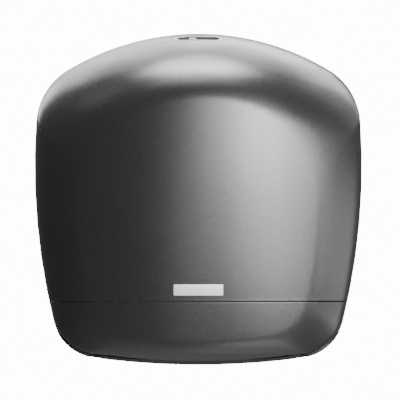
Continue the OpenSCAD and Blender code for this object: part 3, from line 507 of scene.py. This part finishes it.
def surface(name, group, bump, values, coat=False, **shader_values):
    """A material whose Principled shader takes its colour, roughness and bump from a group,
    and with coat also the weight of a clear gloss. bump is the relief's depth in metres."""
    material = bpy.data.materials.new(name)
    material.use_nodes = True
    tree = material.node_tree
    shader = tree.nodes["Principled BSDF"]
    for key, value in shader_values.items():
        shader.inputs[key.replace("_", " ")].default_value = value
    detail = tree.nodes.new("ShaderNodeGroup")
    detail.node_tree = group
    for key, value in values.items():
        detail.inputs[key].default_value = value
    relief = add(tree, "ShaderNodeBump", in_Strength=1.0, in_Distance=bump)
    tree.links.new(detail.outputs["Height"], relief.inputs["Height"])
    tree.links.new(relief.outputs["Normal"], shader.inputs["Normal"])
    tree.links.new(detail.outputs["Colour"], shader.inputs["Base Color"])
    tree.links.new(detail.outputs["Roughness"], shader.inputs["Roughness"])
    if coat:
        tree.links.new(detail.outputs["Gloss"], shader.inputs["Coat Weight"])
    return material


def dress(material, *names):
    """Gives CAD nodes, whose shapes stay as they are, their finish."""
    for name in names:
        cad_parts[name].material_slots[0].material = material


def add_piece(piece, body, slot, material, *replaced):
    """Gives a new piece its finish, its body and the nodes that it stands for."""
    piece.data.materials.clear()
    piece.data.materials.append(material)
    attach(piece, body)
    if replaced:
        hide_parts(*replaced)


cover_black = surface("cover_black", moulded_grain, 0.02 * MM,
                      {"Colour": (0.012, 0.012, 0.012, 1), "Dust Colour": (0.06, 0.06, 0.06, 1),
                       "Grain Size": 0.6 * MM, "Roughness": 0.28, "Dust": 0.04},
                      coat=True, Specular_IOR_Level=0.95, Coat_Roughness=0.28)
add_piece(front_cover, "cover", "cover_black", cover_black, "front_cover")
add_piece(lower_cover, "cover", "cover_black", cover_black, "lower_cover")

# ---------------------------------------------------------------- Nameplate
# A bare plate of satin aluminium, 0.6 mm thick, bent to the front and glued on just
# above the open line. Its corners and its edge are rounded by tumbling.
PLATE_W, PLATE_H, PLATE_Z = 47 * MM, 10.6 * MM, -85.7 * MM
PLATE_OUT, PLATE_IN = 0.7 * MM, 0.08 * MM
PLATE_CORNER, PLATE_EDGE, PLATE_BENDS = 0.9 * MM, 0.28 * MM, 24
plate = box_form((-PLATE_W / 2, 0, -PLATE_H / 2), (PLATE_W / 2, PLATE_OUT - PLATE_IN, PLATE_H / 2))
corners = [e for e in plate.edges if abs(e.verts[0].co.y - e.verts[1].co.y) > 1e-6]
bmesh.ops.bevel(plate, geom=corners, offset=PLATE_CORNER, segments=6, profile=0.5,
                affect="EDGES", material=-1)
front_rim = [e for e in plate.edges if all(v.co.y < 1e-7 for v in e.verts)]
bmesh.ops.bevel(plate, geom=front_rim, offset=PLATE_EDGE, segments=4, profile=0.5,
                affect="EDGES", material=-1)
for n in range(1, PLATE_BENDS):
    x = (2 * n / PLATE_BENDS - 1) * (PLATE_W / 2 - MM)
    bmesh.ops.bisect_plane(plate, geom=whole(plate), dist=1e-8, plane_co=(x, 0, 0),
                           plane_no=(1, 0, 0))
for v in plate.verts:
    z = v.co.z + PLATE_Z
    v.co = (v.co.x, v.co.y - PLATE_OUT - front_depth(v.co.x, z), z)
plate = finish_mesh(link_piece("nameplate", plate), 50)


def metal_group():
    """Plated or brushed metal: fine lines along x, and dull clouds that are rougher too."""
    CLOUDS, LINE_STRETCH = 160.0, 0.04
    STREAK, DULL_ROUGHNESS = 0.05, 0.2
    g, given, out = node_group(
        "drawn_metal",
        {"Colour": (0.6, 0.6, 0.62, 1), "Dull Colour": (0.4, 0.4, 0.4, 1),
         "Line Width": 0.15 * MM, "Roughness": 0.3, "Dullness": 0.3},
        ["Colour", "Roughness", "Height"])
    where = add(g, "ShaderNodeTexCoord").outputs["Object"]
    drawn = add(g, "ShaderNodeMapping", in_Vector=where, in_Scale=(LINE_STRETCH, 1, 1)).outputs[0]
    lines = noise(g, drawn, combine(g, "DIVIDE", 1.0, given["Line Width"]), 2.0, 0.6)
    cloud = noise(g, where, CLOUDS, 5.0, 0.6)
    dull = combine(g, "MULTIPLY", spread(g, cloud, 0.35, 0.7, 0.0, 1.0), given["Dullness"])
    streak = spread(g, lines, 0.3, 0.7, -STREAK, STREAK)
    rough = combine(g, "ADD", given["Roughness"], streak)
    g.links.new(mix_colours(g, dull, given["Colour"], given["Dull Colour"]), out["Colour"])
    g.links.new(combine(g, "MULTIPLY_ADD", dull, DULL_ROUGHNESS, rough), out["Roughness"])
    g.links.new(lines, out["Height"])
    return g


drawn_metal = metal_group()
label_metal = surface("label_metal", drawn_metal, 0.006 * MM,
                      {"Colour": (0.86, 0.86, 0.86, 1), "Dull Colour": (0.72, 0.72, 0.73, 1),
                       "Line Width": 0.16 * MM, "Roughness": 0.42, "Dullness": 0.2},
                      Metallic=0.6)
add_piece(plate, "cover", "label_metal", label_metal, "label_plate")

# ---------------------------------------------------------------- Lock bezel, button and barrel
# A satin-plated frame snapped into the top of the cover, its upper face flush with the dome.
# The long matt button sits 1.8 mm down inside it, and carries a nickel-plated key barrel
# that stands a little proud of it.
DOME_R, DOME_DOWN = 242.875 * MM, 0.15 * MM
BEZEL_TOP, BEZEL_H, BEZEL_EDGE = MM, 9 * MM, 0.4 * MM
WING_L, WING_W, WING_T = 58.4 * MM, 11 * MM, 3.4 * MM


def round_edges(piece, width, sharp=35):
    """Rounds the piece's edges that are sharper than an angle, as a mould leaves them."""
    soft = piece.modifiers.new("soft", "BEVEL")
    soft.width = width
    soft.segments = 3
    soft.limit_method = "ANGLE"
    soft.angle_limit = math.radians(sharp)
    soft.use_clamp_overlap = True
    finish_mesh(piece, 40)


# Button sizes that the bezel's opening shares
BUTTON_L, BUTTON_W, SLIDE_GAP = 39.4 * MM, 12.9 * MM, 0.2 * MM
bezel = link_piece("bezel", oblong_form(BEZEL_L, BEZEL_W, -BEZEL_H, BEZEL_TOP))
dome = bmesh.new()
bmesh.ops.create_cone(dome, cap_ends=True, segments=720, radius1=DOME_R, radius2=DOME_R,
                      depth=100 * MM,
                      matrix=(Matrix.Translation((0, 0, -DOME_R - DOME_DOWN))
                              @ Matrix.Rotation(math.pi / 2, 4, "X")))
cut_out(bezel, dome, "INTERSECT")
cut_out(bezel, box_form((-WING_L / 2, -WING_W / 2, -BEZEL_H),
                        (WING_L / 2, WING_W / 2, WING_T - BEZEL_H)), "UNION")
cut_out(bezel, oblong_form(BUTTON_L + 2 * SLIDE_GAP, BUTTON_W + 2 * SLIDE_GAP,
                           -BEZEL_H - MM, 3 * MM))
round_edges(bezel, BEZEL_EDGE)
bezel.data.transform(lock_place)
bezel_plating = surface("bezel_plating", moulded_grain, 0.004 * MM,
                        {"Colour": (0.24, 0.24, 0.24, 1), "Dust Colour": (0.12, 0.12, 0.12, 1),
                         "Grain Size": 0.6 * MM, "Roughness": 0.26, "Dust": 0.15},
                        Metallic=0.8)
add_piece(bezel, "cover", "bezel_plastic", bezel_plating, "lock_bezel")

BUTTON_IN, BUTTON_BASE, BUTTON_EDGE = 1.8 * MM, 12 * MM, 0.5 * MM
BUTTON_LIP, LIP_DOWN = 0.8 * MM, 0.3 * MM
PUSHER_X, PUSHER_END, PUSHER_W, PUSHER_L = 4 * MM, 12 * MM, 5 * MM, 3 * MM
BARREL_X, BARREL_R, BARREL_ROOM = -5.5 * MM, 3.6 * MM, 0.05 * MM


def tube_form(r, z0, z1, x=0.0):
    """A round bar along z."""
    bm = bmesh.new()
    bmesh.ops.create_cone(bm, cap_ends=True, segments=64, radius1=r, radius2=r, depth=z1 - z0,
                          matrix=Matrix.Translation((x, 0, (z0 + z1) / 2)))
    return bm


button = link_piece("button", oblong_form(BUTTON_L, BUTTON_W, -BUTTON_BASE, -BUTTON_IN))
cut_out(button, oblong_form(BUTTON_L + 2 * BUTTON_LIP, BUTTON_W + 2 * BUTTON_LIP,
                            -BUTTON_BASE, -BEZEL_H - LIP_DOWN), "UNION")
cut_out(button, box_form((PUSHER_X, -PUSHER_W / 2, -BUTTON_BASE - PUSHER_L),
                         (PUSHER_END, PUSHER_W / 2, MM - BUTTON_BASE)), "UNION")
cut_out(button, tube_form(BARREL_R + BARREL_ROOM, -BUTTON_BASE - PUSHER_L, 0, BARREL_X))
round_edges(button, BUTTON_EDGE)
button.data.transform(lock_place)
button_plastic = surface("button_plastic", moulded_grain, 0.01 * MM,
                         {"Colour": (0.012, 0.012, 0.012, 1), "Dust Colour": (0.08, 0.08, 0.08, 1),
                          "Grain Size": 0.6 * MM, "Roughness": 0.7, "Dust": 0.08},
                         Specular_IOR_Level=0.15)
add_piece(button, "button", "button_plastic", button_plastic, "push_button")

BARREL_FOOT, BARREL_IN, BARREL_EDGE = 16 * MM, 0.7 * MM, 0.12 * MM
RING_T, GROOVE_W, GROOVE_DEEP = 0.5 * MM, 0.4 * MM, 0.25 * MM
KEY_W, KEY_L, KEY_DEEP = MM, 4.6 * MM, 4.8 * MM
SCREW_HOLE_R, SCREW_HOLE_TOP = 1.52 * MM, -10 * MM
barrel = link_piece("barrel", tube_form(BARREL_R, -BARREL_FOOT, -BARREL_IN))
cut_out(barrel, tube_form(BARREL_R - RING_T, -BARREL_IN - GROOVE_DEEP, 0))
cut_out(barrel, tube_form(BARREL_R - RING_T - GROOVE_W, -BARREL_IN - GROOVE_DEEP, -BARREL_IN),
        "UNION")
cut_out(barrel, box_form((-KEY_W / 2, -KEY_L / 2, -KEY_DEEP), (KEY_W / 2, KEY_L / 2, 0)))
cut_out(barrel, tube_form(SCREW_HOLE_R, -BARREL_FOOT - MM, SCREW_HOLE_TOP))
round_edges(barrel, BARREL_EDGE)
barrel.data.transform(lock_place @ Matrix.Translation((BARREL_X, 0, 0)))
barrel_metal = surface("barrel_metal", drawn_metal, 0.004 * MM,
                       {"Colour": (0.34, 0.34, 0.335, 1), "Dull Colour": (0.25, 0.245, 0.23, 1),
                        "Line Width": 0.2 * MM, "Roughness": 0.2, "Dullness": 0.25},
                       Metallic=1.0)
add_piece(barrel, "lock", "barrel_metal", barrel_metal, "lock_barrel")

# ---------------------------------------------------------------- Lock bracket, latch and strip
# Dark moulded bracket and lever under the button; a zinc-plated cam, pin and screws. The
# strip behind the open line is a dark moulding that holds the two covers together.
dark_moulding = surface("dark_moulding", moulded_grain, 0.03 * MM,
                        {"Colour": (0.045, 0.046, 0.049, 1), "Dust Colour": (0.2, 0.2, 0.2, 1),
                         "Grain Size": 0.7 * MM, "Roughness": 0.46, "Dust": 0.15})
zinc_steel = surface("zinc_steel", drawn_metal, 0.01 * MM,
                     {"Colour": (0.56, 0.575, 0.6, 1), "Dull Colour": (0.34, 0.34, 0.35, 1),
                      "Line Width": 0.6 * MM, "Roughness": 0.36, "Dullness": 0.4},
                     Metallic=1.0)
screw_steel = surface("screw_steel", drawn_metal, 0.006 * MM,
                      {"Colour": (0.62, 0.63, 0.65, 1), "Dull Colour": (0.42, 0.41, 0.4, 1),
                       "Line Width": 0.3 * MM, "Roughness": 0.28, "Dullness": 0.3},
                      Metallic=1.0)
spring_steel = surface("spring_steel", drawn_metal, 0.006 * MM,
                       {"Colour": (0.4, 0.41, 0.43, 1), "Dull Colour": (0.2, 0.19, 0.18, 1),
                        "Line Width": 0.3 * MM, "Roughness": 0.25, "Dullness": 0.4},
                       Metallic=1.0)
dress(dark_moulding, "lock_housing", "latch_lever", "seam_strip")
dress(zinc_steel, "lock_cam")
dress(screw_steel, "housing_screws", "latch_pin", "cam_screw", "seam_screws")
dress(spring_steel, "latch_spring")

# ---------------------------------------------------------------- Back plate and catch
# One moulding in matt black plastic, 2.5 mm thick, with stiffening ribs, a rim round its
# edge, a wall that centres the cover, and a trough at the foot that covers the hinge. The
# catch is a bent strip of zinc-plated steel on two screws.
black_moulding = surface("black_moulding", moulded_grain, 0.03 * MM,
                         {"Colour": (0.026, 0.026, 0.027, 1),
                          "Dust Colour": (0.16, 0.155, 0.15, 1),
                          "Grain Size": 0.7 * MM, "Roughness": 0.5, "Dust": 0.25})
dress(black_moulding, "back_plate")
dress(zinc_steel, "catch_plate")
dress(screw_steel, "catch_screws")

# ---------------------------------------------------------------- Hinge
# Two arms of bent steel, screwed into the lower cover, turn on pins pressed into the ears
# of the back plate's trough.
dress(zinc_steel, "hinge_arms")
dress(screw_steel, "hinge_pins", "arm_screws")

# ---------------------------------------------------------------- Roll drum and brake
# A pale moulded drum turns on two bushes of natural plastic round a plated axle, kept on
# by a spring clip. A dark lever presses a rubber pad on the rim of the drum's disc.
pale_moulding = surface("pale_moulding", moulded_grain, 0.03 * MM,
                        {"Colour": (0.6, 0.605, 0.6, 1), "Dust Colour": (0.35, 0.34, 0.32, 1),
                         "Grain Size": 0.6 * MM, "Roughness": 0.4, "Dust": 0.2})
bush_plastic = surface("bush_plastic", moulded_grain, 0.01 * MM,
                       {"Colour": (0.72, 0.69, 0.6, 1), "Dust Colour": (0.4, 0.37, 0.3, 1),
                        "Grain Size": 0.5 * MM, "Roughness": 0.35, "Dust": 0.15})
brake_rubber = surface("brake_rubber", moulded_grain, 0.06 * MM,
                       {"Colour": (0.02, 0.02, 0.02, 1), "Dust Colour": (0.2, 0.2, 0.19, 1),
                        "Grain Size": 0.8 * MM, "Roughness": 0.75, "Dust": 0.35})
dress(pale_moulding, "roll_hub", "hub_cap")
dress(bush_plastic, "hub_bushes")
dress(brake_rubber, "brake_pad")
dress(dark_moulding, "brake_lever")
dress(zinc_steel, "roll_axle")
dress(screw_steel, "axle_screws", "brake_pin")
dress(spring_steel, "axle_clip", "brake_spring")

# ---------------------------------------------------------------- Stub roll holder
# A smaller pale sleeve for the end of a used roll. It is closed by a cap, and turns on a
# plated axle that two screws hold on the back plate.
dress(pale_moulding, "stub_sleeve", "stub_cap")
dress(zinc_steel, "stub_axle")
dress(screw_steel, "stub_screws")

# ---------------------------------------------------------------- Tearing edges
# Two strips of stainless steel with stamped teeth, one on each side of the paper outlet.
# Each is held on the lower cover by two screws.
tear_steel = surface("tear_steel", drawn_metal, 0.008 * MM,
                     {"Colour": (0.64, 0.65, 0.66, 1), "Dull Colour": (0.5, 0.5, 0.5, 1),
                      "Line Width": 0.2 * MM, "Roughness": 0.3, "Dullness": 0.15},
                     Metallic=1.0)
dress(tear_steel, "tear_edges")
dress(screw_steel, "tear_screws")
